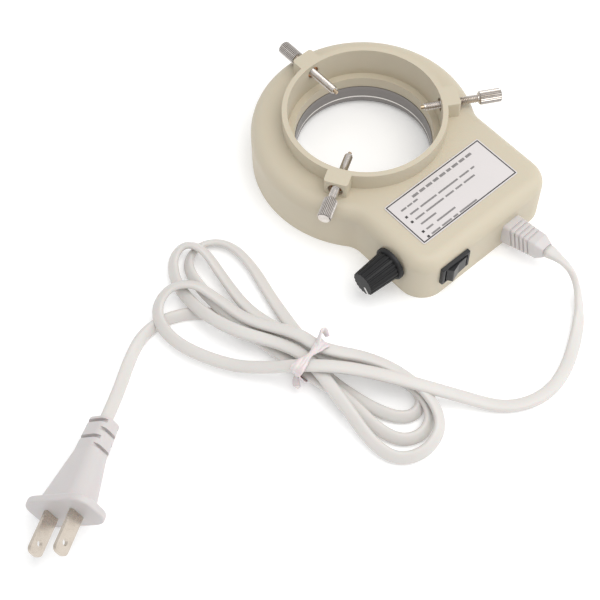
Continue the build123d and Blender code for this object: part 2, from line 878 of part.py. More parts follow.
def corner_radii(points):
    radii = []
    for before, here, after in zip(points, points[1:], points[2:]):
        first = Vector(here) - Vector(before)
        second = Vector(after) - Vector(here)
        turn = math.radians(first.get_angle(second))
        radii.append(corner_share * min(first.length, second.length) / math.tan(turn / 2))
    return radii


def cord(name, points):
    radii = corner_radii(points)
    path = FilletPolyline(*points, radius=radii)
    solid = sweep(Plane(path @ 0, z_dir=path % 0) * Circle(cord_radius), path)
    expected = math.pi * cord_radius ** 2 * path.length
    print(name, "length", round(path.length, 1), "least radius", round(min(radii), 1),
          "volume share", round(solid.volume / expected, 4))
    return solid, path


def least_gap(path):
    count = int(path.length / (cord_radius / 2))
    points = [tuple(path.position_at(index / count)) for index in range(count + 1)]
    apart = int(3 * hank_pitch / (path.length / count))
    nearest = min(math.dist(a, b) for place, a in enumerate(points) for b in points[place + apart:])
    return nearest - 2 * cord_radius


def tie_outline(clearance):
    circles = []
    for column, layers in zip(waist_column_shares, waist_layer_shares):
        place = Pos(column * hank_pitch, cord_height + sum(layers) / 2 * hank_pitch)
        circles.append(place * Edge.make_circle(cord_radius + clearance))
    return make_hull(circles)


def twist_tie():
    outline = tie_outline(tie_gap + tie_thickness) - tie_outline(tie_gap)
    band = extrude(outline, tie_width / 2, both=True)
    band = Pos(*hank_waist) * Rot(0, 0, hank_heading - 90) * Rot(90, 0, 0) * band
    top = band.bounding_box().max.Z
    for heading in tie_end_headings:
        end = box_between((-tie_width / 2, -tie_width / 2, -tie_thickness), (tie_end_length, tie_width / 2, 0))
        band += Pos(*hank_waist, top + tie_thickness / 2) * Rot(0, 0, heading) * Rot(0, tie_end_droop, 0) * end
    return band


if __name__ == "__main__":
    os.makedirs("parts", exist_ok=True)
    save(upper_housing(), "upper_housing")
    save(base_cover(), "base_cover")
    save(bore_liner(), "bore_liner")
    save(window_ring(), "window_ring")
    save(led_board(), "led_board")
    save(leds(), "leds")
    save(board_screws(), "board_screws")
    save(base_screws(), "base_screws")
    save(driver_board(), "driver_board")
    save(transformer(), "transformer")
    save(capacitors(), "capacitors")
    save(rectifier(), "rectifier")
    save(driver_chip(), "driver_chip")
    save(fuse(), "fuse")
    save(dimmer_potentiometer(), "dimmer_potentiometer")
    save(dimmer_washer(), "dimmer_washer")
    save(dimmer_nut(), "dimmer_nut")
    save(dimmer_place(shaft_solid()), "dimmer_shaft")
    save(dimmer_knob(), "dimmer_knob")
    save(dimmer_place(pointer_solid()), "knob_pointer")
    save(switch_body(), "switch_body")
    save(switch_rocker(), "switch_rocker")
    save(switch_terminals(), "switch_terminals")
    save(label_plate(), "label_plate")
    save(collar_inserts(), "collar_inserts")
    for place in screw_angles:
        save(screw_nose(place), f"screw_nose_{place}")
        save(clamp_screw(place), f"clamp_screw_{place}")
    save(mains_wires(), "mains_wires")
    save(led_wires(), "led_wires")
    save(dimmer_wires(), "dimmer_wires")
    save(strain_relief(), "strain_relief")
    save(lead_tail(), "lead_tail")
    save(mains_plug(), "mains_plug")
    save(plug_blades(), "plug_blades")
    hank = hank_points()
    hank_start = between(lead_route[-1], hank[0])
    hank_end = between(hank[-1], plug_route[0])
    save(cord("device lead", [cord_exit(), *lead_route, hank_start])[0], "cord_device_lead")
    hank_solid, hank_path = cord("hank", [hank_start, *hank, hank_end])
    save(hank_solid, "cord_hank")
    save(cord("plug lead", [hank_end, *plug_route, plug_cord_entry()])[0], "cord_plug_lead")
    save(twist_tie(), "twist_tie")
    print("hank least gap", round(least_gap(hank_path), 2))
    print("cord exit", cord_exit(), "plug entry", plug_cord_entry())
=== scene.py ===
import bpy
import math
from mathutils import Matrix, Vector, geometry, noise


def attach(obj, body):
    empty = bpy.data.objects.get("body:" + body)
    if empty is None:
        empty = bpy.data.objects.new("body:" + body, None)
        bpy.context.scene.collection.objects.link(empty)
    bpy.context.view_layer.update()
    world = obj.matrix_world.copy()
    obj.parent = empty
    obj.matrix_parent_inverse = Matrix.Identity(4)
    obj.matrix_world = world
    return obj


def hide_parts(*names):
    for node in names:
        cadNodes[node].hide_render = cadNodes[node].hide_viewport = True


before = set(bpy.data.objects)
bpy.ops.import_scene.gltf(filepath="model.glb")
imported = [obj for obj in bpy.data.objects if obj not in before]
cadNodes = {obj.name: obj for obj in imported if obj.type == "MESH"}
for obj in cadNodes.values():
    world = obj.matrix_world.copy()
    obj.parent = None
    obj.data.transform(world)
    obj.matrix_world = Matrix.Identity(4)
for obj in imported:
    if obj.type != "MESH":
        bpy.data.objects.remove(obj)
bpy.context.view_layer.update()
print("frame loaded with", len(cadNodes), "nodes")


def makeObject(name, mesh, smooth=True):
    piece = bpy.data.objects.new(name, mesh)
    bpy.context.scene.collection.objects.link(piece)
    for face in mesh.polygons:
        face.use_smooth = smooth
    return piece


def meshFrom(name, points, faces):
    mesh = bpy.data.meshes.new(name)
    mesh.from_pydata([tuple(p) for p in points], [], faces)
    mesh.update()
    return mesh


def stitchRings(count, rings):
    # quads between rings of points that follow each other in the point list, and a cap at each end
    faces = []
    for row in range(rings - 1):
        here, there = row * count, (row + 1) * count
        for i in range(count):
            j = (i + 1) % count
            faces.append((here + i, here + j, there + j, there + i))
    faces.append(tuple(reversed(range(count))))
    faces.append(tuple(range((rings - 1) * count, rings * count)))
    return faces


def superSection(halfWide, halfThin, power, count):
    # outline between an ellipse (power 2) and a rectangle (high power)
    section = []
    for i in range(count):
        turn = 2 * math.pi * i / count
        c, s = math.cos(turn), math.sin(turn)
        section.append((halfWide * math.copysign(abs(c) ** (2 / power), c),
                        halfThin * math.copysign(abs(s) ** (2 / power), s)))
    return section


def smoothStep(t):
    # an even start and end between 0 and 1
    t = min(max(t, 0), 1)
    return t * t * (3 - 2 * t)


def makeGroup(name, inputs, outputs):
    tree = bpy.data.node_groups.new(name, "ShaderNodeTree")
    for title, kind, value in inputs:
        socket = tree.interface.new_socket(name=title, in_out="INPUT", socket_type="NodeSocket" + kind)
        if value is not None:
            socket.default_value = value
    for title, kind in outputs:
        tree.interface.new_socket(name=title, in_out="OUTPUT", socket_type="NodeSocket" + kind)
    return tree, tree.nodes.new("NodeGroupInput"), tree.nodes.new("NodeGroupOutput")


def addMath(tree, operation, first, second=None, clamp=False):
    # each of the two is a number or a socket
    node = tree.nodes.new("ShaderNodeMath")
    node.operation = operation
    node.use_clamp = clamp
    for socket, value in zip(node.inputs, (first, second)):
        if value is None:
            continue
        if isinstance(value, (int, float)):
            socket.default_value = value
        else:
            tree.links.new(value, socket)
    return node.outputs[0]


def addNoise(tree, vector, scale, detail, roughness=0.5):
    node = tree.nodes.new("ShaderNodeTexNoise")
    node.inputs["Detail"].default_value = detail
    node.inputs["Roughness"].default_value = roughness
    tree.links.new(vector, node.inputs["Vector"])
    if isinstance(scale, (int, float)):
        node.inputs["Scale"].default_value = scale
    else:
        tree.links.new(scale, node.inputs["Scale"])
    return node.outputs["Fac"]


# the fixed parts of the patterns that the node groups make
grainPattern = {"detail": 3, "roughness": 0.6, "pitScale": 0.6, "pitShare": 0.5, "flowScale": 38, "flowDetail": 4}
tonePattern = {"detail": 5, "roughness": 0.55, "low": 0.35, "high": 0.7}
rubPattern = {"scale": 900, "detail": 4, "roughness": 0.6, "gain": 1.6}
linePattern = {"detail": 4, "roughness": 0.65}
knurlPattern = {"headFrom": 0.96}  # share of the root's radius where the head begins


def makeMouldGrain():
    # the fine eroded skin of a mould, and the slow flow marks under it
    tree, gIn, gOut = makeGroup("mouldGrain", [
        ("Vector", "Vector", None), ("Grain Size", "Float", 0.0005), ("Roughness", "Float", 0.45),
        ("Roughness Spread", "Float", 0.1)], [("Height", "Float"), ("Roughness", "Float")])
    scale = addMath(tree, "DIVIDE", 1, gIn.outputs["Grain Size"])
    fine = addNoise(tree, gIn.outputs["Vector"], scale, grainPattern["detail"], grainPattern["roughness"])
    pits = tree.nodes.new("ShaderNodeTexVoronoi")
    pits.feature = "SMOOTH_F1"
    tree.links.new(gIn.outputs["Vector"], pits.inputs["Vector"])
    tree.links.new(addMath(tree, "MULTIPLY", scale, grainPattern["pitScale"]), pits.inputs["Scale"])
    pitHeight = addMath(tree, "MULTIPLY", pits.outputs["Distance"], grainPattern["pitShare"])
    tree.links.new(addMath(tree, "ADD", fine, pitHeight), gOut.inputs["Height"])
    flow = addNoise(tree, gIn.outputs["Vector"], grainPattern["flowScale"], grainPattern["flowDetail"])
    swing = addMath(tree, "MULTIPLY", addMath(tree, "SUBTRACT", flow, 0.5), gIn.outputs["Roughness Spread"])
    tree.links.new(addMath(tree, "ADD", gIn.outputs["Roughness"], addMath(tree, "MULTIPLY", swing, 2)),
                   gOut.inputs["Roughness"])
    return tree


def makeToneDrift():
    # the base colour drifts towards a second tone in soft patches
    tree, gIn, gOut = makeGroup("toneDrift", [
        ("Vector", "Vector", None), ("Base", "Color", (0.8, 0.8, 0.8, 1)), ("Second", "Color", (0.7, 0.7, 0.7, 1)),
        ("Patch Size", "Float", 0.02), ("Amount", "Float", 0.5)], [("Color", "Color")])
    patches = addNoise(tree, gIn.outputs["Vector"], addMath(tree, "DIVIDE", 1, gIn.outputs["Patch Size"]),
                       tonePattern["detail"], tonePattern["roughness"])
    spread = tree.nodes.new("ShaderNodeMapRange")
    spread.inputs["From Min"].default_value = tonePattern["low"]
    spread.inputs["From Max"].default_value = tonePattern["high"]
    tree.links.new(patches, spread.inputs["Value"])
    mask = addMath(tree, "MULTIPLY", spread.outputs["Result"], gIn.outputs["Amount"], clamp=True)
    mix = tree.nodes.new("ShaderNodeMix")
    mix.data_type = "RGBA"
    tree.links.new(mask, mix.inputs["Factor"])
    tree.links.new(gIn.outputs["Base"], mix.inputs["A"])
    tree.links.new(gIn.outputs["Second"], mix.inputs["B"])
    tree.links.new(mix.outputs["Result"], gOut.inputs["Color"])
    return tree


def makeEdgeRub():
    # rubbed corners: high where the mesh is convex, broken up by noise
    tree, gIn, gOut = makeGroup("edgeRub", [
        ("Vector", "Vector", None), ("Start", "Float", 0.53), ("Full", "Float", 0.62), ("Amount", "Float", 0.5)],
        [("Mask", "Float")])
    shape = tree.nodes.new("ShaderNodeNewGeometry")
    ramp = tree.nodes.new("ShaderNodeMapRange")
    tree.links.new(shape.outputs["Pointiness"], ramp.inputs["Value"])
    tree.links.new(gIn.outputs["Start"], ramp.inputs["From Min"])
    tree.links.new(gIn.outputs["Full"], ramp.inputs["From Max"])
    broken = addNoise(tree, gIn.outputs["Vector"], rubPattern["scale"], rubPattern["detail"], rubPattern["roughness"])
    mask = addMath(tree, "MULTIPLY", ramp.outputs["Result"], addMath(tree, "MULTIPLY", broken, rubPattern["gain"]))
    tree.links.new(addMath(tree, "MULTIPLY", mask, gIn.outputs["Amount"], clamp=True), gOut.inputs["Mask"])
    return tree


def makeToolLines():
    # fine lines left by a tool: rings round Z, or straight lines along the stretch
    tree, gIn, gOut = makeGroup("toolLines", [
        ("Vector", "Vector", None), ("Stretch", "Vector", (1, 1, 1)), ("Line Size", "Float", 0.0002),
        ("Roughness", "Float", 0.3), ("Roughness Spread", "Float", 0.1)],
        [("Height", "Float"), ("Roughness", "Float")])
    scaled = tree.nodes.new("ShaderNodeVectorMath")
    scaled.operation = "MULTIPLY"
    tree.links.new(gIn.outputs["Vector"], scaled.inputs[0])
    tree.links.new(gIn.outputs["Stretch"], scaled.inputs[1])
    scale = addMath(tree, "DIVIDE", 1, gIn.outputs["Line Size"])
    lines = addNoise(tree, scaled.outputs["Vector"], scale, linePattern["detail"], linePattern["roughness"])
    tree.links.new(lines, gOut.inputs["Height"])
    swing = addMath(tree, "MULTIPLY", addMath(tree, "SUBTRACT", lines, 0.5), gIn.outputs["Roughness Spread"])
    tree.links.new(addMath(tree, "ADD", gIn.outputs["Roughness"], addMath(tree, "MULTIPLY", swing, 2)),
                   gOut.inputs["Roughness"])
    return tree


def makeKnurlPaintedShade():
    # painted shade between the teeth: high where the distance to the screw's axis comes near the root's
    tree, gIn, gOut = makeGroup("knurlPaintedShade", [
        ("Vector", "Vector", None), ("Centre", "Vector", (0, 0, 0)), ("Axis", "Vector", (0, 1, 0)),
        ("Root", "Float", 0.0026), ("Tip", "Float", 0.0029), ("Amount", "Float", 1.0)], [("Mask", "Float")])
    last = gIn.outputs["Vector"]
    for operation, other in (("SUBTRACT", "Centre"), ("CROSS_PRODUCT", "Axis"), ("LENGTH", None)):
        step = tree.nodes.new("ShaderNodeVectorMath")
        step.operation = operation
        tree.links.new(last, step.inputs[0])
        if other:
            tree.links.new(gIn.outputs[other], step.inputs[1])
        last = step.outputs["Vector" if other else "Value"]
    ramp = tree.nodes.new("ShaderNodeMapRange")
    tree.links.new(last, ramp.inputs["Value"])
    tree.links.new(gIn.outputs["Tip"], ramp.inputs["From Min"])
    tree.links.new(gIn.outputs["Root"], ramp.inputs["From Max"])
    headFrom = addMath(tree, "MULTIPLY", gIn.outputs["Root"], knurlPattern["headFrom"])
    onHead = addMath(tree, "GREATER_THAN", last, headFrom)
    mask = addMath(tree, "MULTIPLY", ramp.outputs["Result"], onHead)
    tree.links.new(addMath(tree, "MULTIPLY", mask, gIn.outputs["Amount"], clamp=True), gOut.inputs["Mask"])
    return tree


mouldGrain, toneDrift = makeMouldGrain(), makeToneDrift()
edgeRub, toolLines, knurlPaintedShade = makeEdgeRub(), makeToolLines(), makeKnurlPaintedShade()
print("node groups made")


def mixOver(tree, mask, color, top):
    # the top colour laid over the one below where the mask is high
    mix = tree.nodes.new("ShaderNodeMix")
    mix.data_type = "RGBA"
    mix.inputs["B"].default_value = (*top, 1)
    tree.links.new(mask, mix.inputs["Factor"])
    tree.links.new(color, mix.inputs["A"])
    return mix.outputs["Result"]


def startFinish(name):
    # an empty material, with its shader and the place on the piece's own axes
    finish = bpy.data.materials.new(name)
    finish.use_nodes = True
    tree = finish.node_tree
    shader = next(n for n in tree.nodes if n.type == "BSDF_PRINCIPLED")
    place = tree.nodes.new("ShaderNodeTexCoord")
    return finish, tree, shader, place.outputs["Object"]


def placeGroup(tree, group, vector, **values):
    node = tree.nodes.new("ShaderNodeGroup")
    node.node_tree = group
    tree.links.new(vector, node.inputs["Vector"])
    for title, value in values.items():
        socket = node.inputs[title.replace("_", " ")]
        socket.default_value = (*value, 1) if socket.type == "RGBA" else value
    return node


def addBump(tree, shader, height, distance, strength):
    bump = tree.nodes.new("ShaderNodeBump")
    bump.inputs["Distance"].default_value = distance
    bump.inputs["Strength"].default_value = strength
    tree.links.new(height, bump.inputs["Height"])
    tree.links.new(bump.outputs["Normal"], shader.inputs["Normal"])


# what a finish takes when its look doesn't say
mouldedDefaults = {"spread": 0.08, "patch": 0.02, "drift": 0.5, "depth": 0.00003, "strength": 0.35, "soft": 0.0,
                   "softDepth": 0.001, "specular": 0.5}
metalDefaults = {"stretch": (1, 1, 1), "spread": 0.1, "patch": 0.004, "drift": 0.6, "depth": 0.00001,
                 "strength": 0.3}
clearDefaults = {"spread": 0.04, "patch": 0.01, "depth": 0.00001, "strength": 0.15}


def mouldedFinish(name, look):
    look = {**mouldedDefaults, **look}
    finish, tree, shader, vector = startFinish(name)
    grain = placeGroup(tree, mouldGrain, vector, Grain_Size=look["grain"], Roughness=look["roughness"],
                       Roughness_Spread=look["spread"])
    tone = placeGroup(tree, toneDrift, vector, Base=look["color"], Second=look["second"],
                      Patch_Size=look["patch"], Amount=look["drift"])
    color = tone.outputs["Color"]
    if "rub" in look:
        rub = placeGroup(tree, edgeRub, vector, Amount=look["rub"])
        color = mixOver(tree, rub.outputs["Mask"], color, look["rubColor"])
    tree.links.new(color, shader.inputs["Base Color"])
    tree.links.new(grain.outputs["Roughness"], shader.inputs["Roughness"])
    addBump(tree, shader, grain.outputs["Height"], look["depth"], look["strength"])
    shader.inputs["Subsurface Weight"].default_value = look["soft"]
    shader.inputs["Subsurface Scale"].default_value = look["softDepth"]
    shader.inputs["Specular IOR Level"].default_value = look["specular"]
    return finish


def metalFinish(name, look):
    look = {**metalDefaults, **look}
    finish, tree, shader, vector = startFinish(name)
    if look.get("rings"):  # radius round Z takes the place of X and Y, so the lines run round
        split = tree.nodes.new("ShaderNodeSeparateXYZ")
        tree.links.new(vector, split.inputs["Vector"])
        xx = addMath(tree, "MULTIPLY", split.outputs["X"], split.outputs["X"])
        yy = addMath(tree, "MULTIPLY", split.outputs["Y"], split.outputs["Y"])
        join = tree.nodes.new("ShaderNodeCombineXYZ")
        tree.links.new(addMath(tree, "SQRT", addMath(tree, "ADD", xx, yy)), join.inputs["X"])
        tree.links.new(split.outputs["Z"], join.inputs["Z"])
        vector = join.outputs["Vector"]
    lines = placeGroup(tree, toolLines, vector, Stretch=look["stretch"], Line_Size=look["line"],
                       Roughness=look["roughness"], Roughness_Spread=look["spread"])
    tone = placeGroup(tree, toneDrift, vector, Base=look["color"], Second=look["second"],
                      Patch_Size=look["patch"], Amount=look["drift"])
    color = tone.outputs["Color"]
    if "highlightBand" in look:  # a painted highlight: a bright line at one height, where a rolled lip would catch the light
        height, halfBand = look["highlightBand"]
        away = addMath(tree, "ABSOLUTE", addMath(tree, "SUBTRACT", split.outputs["Z"], height))
        color = mixOver(tree, addMath(tree, "LESS_THAN", away, halfBand), color, look["highlightBandColor"])
    if "axis" in look:  # painted shade in the knurl's valleys
        paintedShade = placeGroup(tree, knurlPaintedShade, vector, Centre=look["centre"], Axis=look["axis"], Root=look["root"],
                          Tip=look["tip"], Amount=look["paintedShade"])
        color = mixOver(tree, paintedShade.outputs["Mask"], color, look["paintedShadeColor"])
    tree.links.new(color, shader.inputs["Base Color"])
    tree.links.new(lines.outputs["Roughness"], shader.inputs["Roughness"])
    addBump(tree, shader, lines.outputs["Height"], look["depth"], look["strength"])
    shader.inputs["Metallic"].default_value = 1.0
    return finish


def clearFinish(name, look):
    look = {**clearDefaults, **look}
    finish, tree, shader, vector = startFinish(name)
    grain = placeGroup(tree, mouldGrain, vector, Grain_Size=look["grain"], Roughness=look["roughness"],
                       Roughness_Spread=look["spread"])
    tone = placeGroup(tree, toneDrift, vector, Base=look["color"], Second=look["second"], Patch_Size=look["patch"])
    tree.links.new(tone.outputs["Color"], shader.inputs["Base Color"])
    tree.links.new(grain.outputs["Roughness"], shader.inputs["Roughness"])
    addBump(tree, shader, grain.outputs["Height"], look["depth"], look["strength"])
    shader.inputs["IOR"].default_value = look["ior"]
    shader.inputs["Transmission Weight"].default_value = look["clear"]
    return finish


def paint(finish, *names):
    for name in names:
        mesh = cadNodes[name].data
        mesh.materials.clear()
        mesh.materials.append(finish)


shellLook = {"color": (0.560, 0.498, 0.385), "second": (0.522, 0.462, 0.352), "grain": 0.00035, "roughness": 0.47,
             "spread": 0.07, "patch": 0.03, "drift": 0.35, "depth": 0.00004, "strength": 0.3, "soft": 0.06}
leadLook = {"color": (0.660, 0.634, 0.606), "second": (0.615, 0.588, 0.560), "grain": 0.0006, "roughness": 0.44,
            "patch": 0.018, "drift": 0.5, "depth": 0.00003, "strength": 0.25, "soft": 0.12, "softDepth": 0.0015}
mouldingLook = {"color": (0.602, 0.570, 0.563), "second": (0.568, 0.534, 0.527), "grain": 0.0004, "roughness": 0.42,
                "patch": 0.012, "drift": 0.4, "depth": 0.00003, "strength": 0.3, "soft": 0.15, "softDepth": 0.0015}
tieLook = {"color": (0.690, 0.610, 0.610), "second": (0.760, 0.700, 0.695), "grain": 0.0007, "roughness": 0.30,
           "patch": 0.004, "drift": 0.8, "depth": 0.00012, "strength": 0.5, "soft": 0.25, "softDepth": 0.001}
knobLook = {"color": (0.0075, 0.0075, 0.0080), "second": (0.013, 0.013, 0.014), "grain": 0.00025, "roughness": 0.50,
            "patch": 0.006, "depth": 0.00003, "strength": 0.4, "rub": 0.2, "rubColor": (0.05, 0.05, 0.052),
            "specular": 0.35}
rockerLook = {"color": (0.006, 0.006, 0.007), "second": (0.011, 0.011, 0.012), "grain": 0.0003, "roughness": 0.34,
              "patch": 0.005, "depth": 0.00002, "strength": 0.25, "rub": 0.2, "rubColor": (0.05, 0.05, 0.05),
              "specular": 0.38}
switchLook = {"color": (0.013, 0.013, 0.014), "second": (0.022, 0.022, 0.022), "grain": 0.0003, "roughness": 0.5,
              "patch": 0.005, "depth": 0.00003, "strength": 0.35, "rub": 0.2, "rubColor": (0.05, 0.05, 0.05)}
pointerLook = {"color": (0.80, 0.79, 0.77), "second": (0.70, 0.69, 0.66), "grain": 0.0002, "roughness": 0.4,
               "patch": 0.003, "depth": 0.00001}
labelLook = {"color": (0.655, 0.617, 0.612), "second": (0.630, 0.600, 0.590), "grain": 0.0012, "roughness": 0.33,
             "patch": 0.02, "drift": 0.5, "depth": 0.00001, "strength": 0.15}
inkLook = {"color": (0.030, 0.027, 0.027), "second": (0.060, 0.055, 0.055), "grain": 0.0002, "roughness": 0.5,
           "patch": 0.002, "drift": 0.7}
paleInkLook = {**inkLook, "color": (0.190, 0.178, 0.178), "second": (0.290, 0.275, 0.272), "patch": 0.0006}
paleBoardLook = {"color": (0.72, 0.72, 0.69), "second": (0.66, 0.66, 0.62), "grain": 0.0005, "roughness": 0.4,
                 "patch": 0.01}
greenBoardLook = {"color": (0.012, 0.085, 0.030), "second": (0.020, 0.120, 0.045), "grain": 0.0004,
                  "roughness": 0.35, "patch": 0.003}
tapeLook = {"color": (0.60, 0.42, 0.06), "second": (0.50, 0.34, 0.05), "grain": 0.0008, "roughness": 0.35,
            "patch": 0.004}
sleeveLook = {"color": (0.010, 0.012, 0.020), "second": (0.02, 0.022, 0.034), "grain": 0.0005, "roughness": 0.25,
              "patch": 0.004}
wireLook = {"color": (0.40, 0.018, 0.012), "second": (0.33, 0.014, 0.010), "grain": 0.0004, "roughness": 0.4,
            "patch": 0.006}

# the liner's highlight band is a painted highlight, a bright line painted round it at one height
linerLook = {"color": (0.27, 0.255, 0.25), "second": (0.19, 0.18, 0.175), "rings": True, "highlightBand": (0.0050, 0.00032),
             "highlightBandColor": (0.85, 0.83, 0.80), "line": 0.00022,
             "stretch": (1, 1, 1.6), "roughness": 0.42, "spread": 0.12, "patch": 0.006, "depth": 0.00002,
             "strength": 0.35}
nickelLook = {"color": (0.63, 0.58, 0.54), "second": (0.48, 0.43, 0.385), "line": 0.0003, "roughness": 0.22,
              "spread": 0.1, "patch": 0.002, "depth": 0.00001}
# the knurl's dark colour is painted shade in the valleys between the teeth
knurlLook = {**nickelLook, "color": (0.70, 0.655, 0.62), "centre": (0, 0, 0.0262), "root": 0.00262,
             "tip": 0.00278, "paintedShade": 0.85, "paintedShadeColor": (0.070, 0.056, 0.047)}
screwAxes = {"back": (0, -1, 0), "left": (0.8660254, 0.5, 0), "right": (-0.8660254, 0.5, 0)}
zincLook = {"color": (0.55, 0.55, 0.55), "second": (0.44, 0.44, 0.43), "line": 0.0004, "roughness": 0.34}
brassLook = {"color": (0.62, 0.42, 0.16), "second": (0.50, 0.32, 0.11), "line": 0.0003, "roughness": 0.3}
copperyLook = {"color": (0.56, 0.27, 0.13), "second": (0.38, 0.17, 0.08), "line": 0.0003, "roughness": 0.34}
noseLook = {"color": (0.62, 0.50, 0.36), "second": (0.50, 0.38, 0.26), "line": 0.0002, "roughness": 0.25}
bladeLook = {"color": (0.62, 0.555, 0.485), "second": (0.53, 0.465, 0.395), "line": 0.0005, "roughness": 0.27,
             "spread": 0.12, "patch": 0.004, "drift": 0.7, "depth": 0.00001}
caseLook = {"color": (0.45, 0.43, 0.36), "second": (0.36, 0.34, 0.28), "line": 0.0005, "roughness": 0.38}
shaftLook = {"color": (0.60, 0.60, 0.58), "second": (0.50, 0.50, 0.48), "line": 0.0003, "roughness": 0.3}

windowLook = {"color": (0.96, 0.97, 0.97), "second": (0.93, 0.95, 0.95), "grain": 0.002, "roughness": 0.06,
              "ior": 1.49, "clear": 1.0}
lampLook = {"color": (0.95, 0.95, 0.88), "second": (0.90, 0.90, 0.80), "grain": 0.001, "roughness": 0.09,
            "ior": 1.51, "clear": 0.75}
fuseLook = {"color": (0.90, 0.93, 0.90), "second": (0.82, 0.86, 0.83), "grain": 0.001, "roughness": 0.08,
            "ior": 1.5, "clear": 0.6}

shellFinish = mouldedFinish("creamShell", shellLook)
leadFinish = mouldedFinish("leadVinyl", leadLook)
mouldingFinish = mouldedFinish("softMoulding", mouldingLook)
tieFinish = mouldedFinish("tieFilm", tieLook)
inkFinish, paleInkFinish = mouldedFinish("printInk", inkLook), mouldedFinish("paleInk", paleInkLook)

paint(shellFinish, "upper_housing", "base_cover")
paint(metalFinish("turnedLiner", linerLook), "bore_liner")
paint(clearFinish("clearWindow", windowLook), "window_ring")
paint(mouldedFinish("whiteBoard", paleBoardLook), "led_board")
paint(clearFinish("lampLens", lampLook), "leds")
paint(metalFinish("zincScrew", zincLook), "board_screws", "base_screws", "dimmer_washer")
paint(mouldedFinish("greenBoard", greenBoardLook), "driver_board")
paint(mouldedFinish("windingTape", tapeLook), "transformer")
paint(mouldedFinish("shrinkSleeve", sleeveLook), "capacitors")
paint(mouldedFinish("epoxyBlack", switchLook), "rectifier", "driver_chip", "switch_body")
paint(clearFinish("fuseTube", fuseLook), "fuse")
paint(metalFinish("platedCase", caseLook), "dimmer_potentiometer")
paint(metalFinish("nickelPlate", nickelLook), "dimmer_nut")
for side, axis in screwAxes.items():
    paint(metalFinish(side + "ScrewNickel", {**knurlLook, "axis": axis}), "clamp_screw_" + side)
paint(metalFinish("turnedShaft", shaftLook), "dimmer_shaft")
paint(mouldedFinish("knobBlack", knobLook), "dimmer_knob")
paint(mouldedFinish("pointerPaint", pointerLook), "knob_pointer")
paint(mouldedFinish("rockerBlack", rockerLook), "switch_rocker")
paint(metalFinish("contactBrass", brassLook), "switch_terminals")
paint(mouldedFinish("labelFilm", labelLook), "label_plate")
paint(metalFinish("copperyInsert", copperyLook), "collar_inserts")
paint(metalFinish("noseBrass", noseLook), "screw_nose_back", "screw_nose_left", "screw_nose_right")
paint(mouldedFinish("redWire", wireLook), "mains_wires", "led_wires", "dimmer_wires")
paint(mouldingFinish, "strain_relief", "mains_plug")
paint(leadFinish, "lead_tail")
paint(metalFinish("bladeNickel", bladeLook), "plug_blades")
print("finishes painted on the frame's nodes")


# the mains lead is one flat two-core cord
lead = {"width": 0.0051, "thickness": 0.0028, "power": 2.6, "around": 20, "steps": 6, "clearance": 0.0003,
        "tubeHeight": 0.0023, "layer": 0.0049, "stackShare": 0.8, "sightSlide": (0.394, 0.464),
        "exit": (0.0160097, -0.0905661, 0.012404), "heldRows": 5, "plugRows": 4,
        "root": (0.0028, 0.0023), "rootLength": 0.007}
# x, y, z in metres and the roll of the flat side in degrees
lead["deviceRun"] = [
    (*lead["exit"], 0), (0.0163, -0.0964, 0.0134, 42), (0.0176, -0.1016, 0.0106, 68), (0.0170, -0.1064, 0.0068, 70),
    (0.0142, -0.1110, 0.0038, 58), (0.0084, -0.1172, 0.0023, 28), (-0.0010, -0.1236, 0.0023, 5),
    (-0.0115, -0.1292, 0.0023, 0), (-0.0225, -0.1322, 0.0023, 0), (-0.0335, -0.1308, 0.0023, 0),
    (-0.0435, -0.1246, 0.0023, 0), (-0.0528, -0.1129, 0.0062, 4), (-0.0625, -0.1033, 0.0126, 8),
    (-0.0713, -0.0907, 0.0146, 8), (-0.0806, -0.0785, 0.0158, 5)]
lead["plugRun"] = [
    (-0.0895, -0.0365, 0.0023, 0), (-0.0950, -0.0255, 0.0023, 10), (-0.1035, -0.0145, 0.0023, 35),
    (-0.1155, -0.0085, 0.0023, 50), (-0.1270, -0.0090, 0.0023, 50), (-0.1375, -0.0152, 0.0032, 45),
    (-0.1466, -0.0226, 0.0059, 38), (-0.15496, -0.02882, 0.00843, 34), (-0.161669, -0.0330929, 0.00927, 34)]

# the hank's lobes follow each other, and the lead crosses the waist between them
hank = {
    "waist": (-0.0860, -0.0600), "heading": 97.0, "waistRun": 0.012, "reachPower": 0.9, "widthPower": 0.8,
    # each lobe: heading, reach, half width, bend, roll at its tip
    "lobes": [
        (141.5, 0.0618, 0.0124, -30.5, 40), (-68.0, 0.0603, 0.0145, -13.5, 50), (122.0, 0.0720, 0.0094, -30.0, 50),
        (-64.5, 0.0550, 0.0110, -11.5, 45), (96.0, 0.0698, 0.0126, -10.0, 55), (-65.0, 0.0488, 0.0080, -2.0, 50)],
    # how many layers up each of a lobe's rows lies
    "lobeLayers": [
        (0.75, 0.7, 0.8, 1.7, 2.0, 1.48, 1.61), (2.17, 1.5, 0.8, 0.2, 0, 0.4, 1.5),
        (1.83, 0.71, 0.28, 0.97, 1.11, 0.38, 0.55), (1.11, 0.8, 0.3, 0, 0, 0.07, 0.74),
        (0.96, 1.03, 0, 0, 0, 0, 0), (0, 0, 0, 0, 0, 0, 0)],
    # where each pass lies across the waist and how high, at its start and its end
    "columns": [(-1.4, -3.0), (0.5, 0.5), (-0.5, -0.5), (0.5, 0.5), (-1, -1), (1, 1), (0, 0)],
    "layers": [(2.8, 1.5), (2.54, 2.65), (2.04, 1.75), (1.46, 1.59), (0.86, 0.51), (0.56, 0.6), (0.28, 0.28)]}


def turned(length, heading):
    # x and y of a length that points along a heading in degrees
    return length * math.cos(math.radians(heading)), length * math.sin(math.radians(heading))


def restHeight(roll):
    # how high the middle of the flat lead lies when its lowest edge is on the floor
    a, b = lead["width"] / 2 * math.sin(math.radians(roll)), lead["thickness"] / 2 * math.cos(math.radians(roll))
    return math.hypot(a, b) + lead["clearance"]


